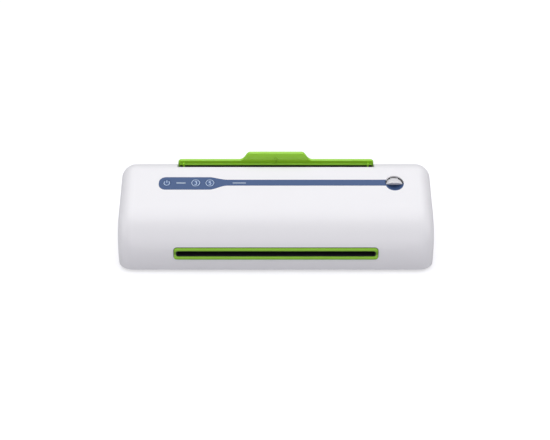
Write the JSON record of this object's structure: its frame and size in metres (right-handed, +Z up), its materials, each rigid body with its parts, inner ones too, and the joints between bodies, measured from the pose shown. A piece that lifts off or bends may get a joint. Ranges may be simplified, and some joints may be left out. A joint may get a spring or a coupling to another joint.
{
  "type": "pouch laminator",
  "caption": "Desktop pouch laminator with a domed cover, rear fold-down feed tray, front exit slot, heated rollers, control strip and release lever.",
  "frame": {"origin": "centre of the footprint, on the surface it stands on", "axes": "+X to the right seen from the front, +Y to the rear, +Z up"},
  "size_m": [0.39, 0.1322, 0.1039],
  "materials": {
    "white_shell": "smooth, slightly glossy",
    "white_lever": "smooth, slightly glossy",
    "green_plastic": "glossy moulded",
    "blue_plastic": "satin",
    "blue_keys": "satin",
    "light_lens": "clear tinted",
    "foot_rubber": "matte",
    "roller_silicone": "matte silicone",
    "steel": "turned",
    "plate_steel": "zinc plated sheet",
    "spring_steel": "drawn wire",
    "bearing_plastic": "self-lubricating",
    "gear_plastic": "acetal",
    "motor_can": "plated can",
    "heater_aluminium": "extruded",
    "heater_mica": "mica sheet",
    "thermostat_body": "phenolic",
    "fuse_body": "can",
    "guide_plastic": "heat resistant",
    "circuit_board": "solder mask",
    "component_black": "moulded",
    "wire_red": "insulation",
    "wire_white": "glass sleeve",
    "gland_black": "moulded"
  },
  "bodies": {
    "frame": {"top_cover": "white_shell", "recess_liner": "white_shell", "base_pan": "white_shell", "rubber_feet": "foot_rubber", "exit_bezel": "green_plastic", "exit_throat": "guide_plastic", "control_strip": "blue_plastic", "lower_bearings": "bearing_plastic", "pressure_springs": "spring_steel", "left_side_plate": "plate_steel", "right_side_plate": "plate_steel", "tie_bars": "steel", "idler_stud": "steel", "idler_clip": "spring_steel", "drive_motor": "motor_can", "motor_screws": "steel", "upper_heater_shoe": "heater_aluminium", "lower_heater_shoe": "heater_aluminium", "upper_heater_element": "heater_mica", "lower_heater_element": "heater_mica", "thermostat": "thermostat_body", "thermal_fuse": "fuse_body", "entry_guide_upper": "guide_plastic", "entry_guide_lower": "guide_plastic", "exit_guide_upper": "guide_plastic", "exit_guide_lower": "guide_plastic", "control_board": "circuit_board", "board_screws": "steel", "tactile_switches": "component_black", "main_board": "circuit_board", "main_board_screws": "steel", "board_components": "component_black", "motor_leads": "wire_red", "heater_leads": "wire_white", "cord_gland": "gland_black", "case_screws": "steel", "frame_screws": "steel", "foot_screws": "steel", "ready_light": "light_lens", "status_light": "light_lens"},
    "carriage": {"upper_bearings": "bearing_plastic", "lift_links": "plate_steel"},
    "upper_roller": {"upper_roller_shaft": "steel", "upper_roller_sleeve": "roller_silicone", "upper_roller_gear": "gear_plastic", "upper_roller_clips": "spring_steel"},
    "lower_roller": {"lower_roller_shaft": "steel", "lower_roller_sleeve": "roller_silicone", "lower_roller_gear": "gear_plastic", "lower_roller_clips": "spring_steel"},
    "idler": {"idler_gear": "gear_plastic"},
    "pinion": {"motor_pinion": "steel"},
    "release": {"release_lever": "white_lever", "release_shaft": "steel", "release_cranks": "plate_steel"},
    "power_key": {"power_button": "blue_keys"},
    "thin_key": {"thin_pouch_button": "blue_keys"},
    "thick_key": {"thick_pouch_button": "blue_keys"},
    "tray": {"input_tray": "green_plastic", "tray_hinge_pins": "steel", "tray_grip": "foot_rubber"}
  },
  "joints": [
    {"name": "lower_roller_spin", "type": "hinge", "parent": "frame", "child": "lower_roller", "pos_m": [0, 0.0103, 0.0198], "axis": [1, 0, 0], "continuous": true},
    {"name": "carriage_lift", "type": "slide", "parent": "frame", "child": "carriage", "axis": [0, 0, 1], "range_m": [0, 0.0017], "stiffness_N_per_m": 600, "deforming": ["pressure_springs"]},
    {"name": "upper_roller_spin", "type": "hinge", "parent": "carriage", "child": "upper_roller", "pos_m": [0, 0.0103, 0.0422], "axis": [1, 0, 0], "continuous": true},
    {"name": "idler_spin", "type": "hinge", "parent": "frame", "child": "idler", "pos_m": [0, -0.01313, 0.02741], "axis": [1, 0, 0], "continuous": true},
    {"name": "pinion_spin", "type": "hinge", "parent": "frame", "child": "pinion", "pos_m": [0, -0.01472, 0.04751], "axis": [1, 0, 0], "continuous": true},
    {"name": "release_lever_turn", "type": "hinge", "parent": "frame", "child": "release", "pos_m": [0.148, 0.0213, 0.0776], "axis": [-1, 0, 0], "range_deg": [0, 28]},
    {"name": "tray_hinge", "type": "hinge", "parent": "frame", "child": "tray", "pos_m": [0, 0.0605, 0.028], "axis": [-1, 0, 0], "range_deg": [0, 104]},
    {"name": "power_key_press", "type": "slide", "parent": "frame", "child": "power_key", "axis": [0, 0.309, -0.9511], "range_m": [0, 0.0008], "stiffness_N_per_m": 300},
    {"name": "thin_key_press", "type": "slide", "parent": "frame", "child": "thin_key", "axis": [0, 0.309, -0.9511], "range_m": [0, 0.0008], "stiffness_N_per_m": 300},
    {"name": "thick_key_press", "type": "slide", "parent": "frame", "child": "thick_key", "axis": [0, 0.309, -0.9511], "range_m": [0, 0.0008], "stiffness_N_per_m": 300}
  ],
  "couplings": [
    {"joint": "upper_roller_spin", "follows": "lower_roller_spin", "ratio": -1},
    {"joint": "idler_spin", "follows": "lower_roller_spin", "ratio": -0.83333},
    {"joint": "pinion_spin", "follows": "lower_roller_spin", "ratio": 1.6667},
    {"joint": "release_lever_turn", "follows": "carriage_lift", "rad_per_m": 287.4}
  ]
}
